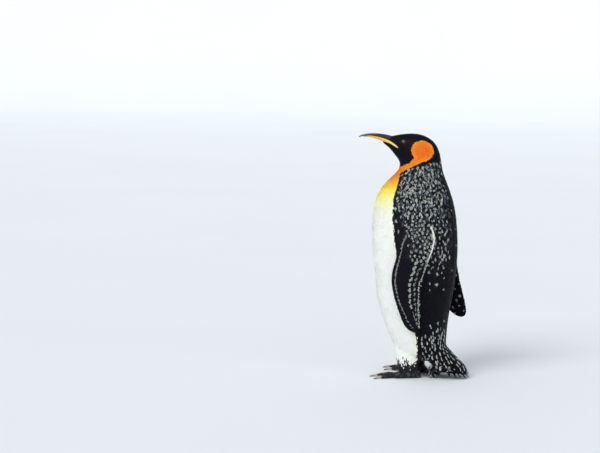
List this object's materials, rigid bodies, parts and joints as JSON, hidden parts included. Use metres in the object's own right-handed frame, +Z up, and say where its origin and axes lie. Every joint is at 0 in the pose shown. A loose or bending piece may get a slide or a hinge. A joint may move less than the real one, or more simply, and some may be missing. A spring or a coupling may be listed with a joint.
{
  "type": "king penguin",
  "caption": "Life-size standing king penguin, upright on its feet and tail tips, with its head turned a little to its left and both flippers hanging.",
  "frame": {"origin": "on the floor, under the middle of the model's outline", "axes": "+Z up, -Y the way the body faces, +X the bird's own left side"},
  "size_m": [0.3296, 0.4146, 0.9],
  "materials": {
    "white_feathers": "dense white plumage with a soft satin sheen",
    "silver_feathers": "blue-grey scale-like feathers with pale tips",
    "black_feathers": "black plumage with a faint sheen",
    "orange_feathers": "velvety orange plumage",
    "black_bill_horn": "smooth dark horn",
    "orange_bill_horn": "waxy orange-yellow horn",
    "brown_eye": "wet and glossy",
    "black_foot_skin": "scaly black skin",
    "dark_claw_horn": "worn dark horn"
  },
  "bodies": {
    "root": {"trunk": "white_feathers", "neck": "silver_feathers", "head": "black_feathers", "bill_upper": "black_bill_horn", "bill_lower": "orange_bill_horn", "tail": "black_feathers", "eye_left": "brown_eye", "flipper_left": "black_feathers", "leg_left": "white_feathers", "foot_left": "black_foot_skin", "claw_left_inner": "dark_claw_horn", "claw_left_middle": "dark_claw_horn", "claw_left_outer": "dark_claw_horn", "claw_left_hind": "dark_claw_horn", "eye_right": "brown_eye", "flipper_right": "black_feathers", "leg_right": "white_feathers", "foot_right": "black_foot_skin", "claw_right_inner": "dark_claw_horn", "claw_right_middle": "dark_claw_horn", "claw_right_outer": "dark_claw_horn", "claw_right_hind": "dark_claw_horn"}
  },
  "joints": []
}
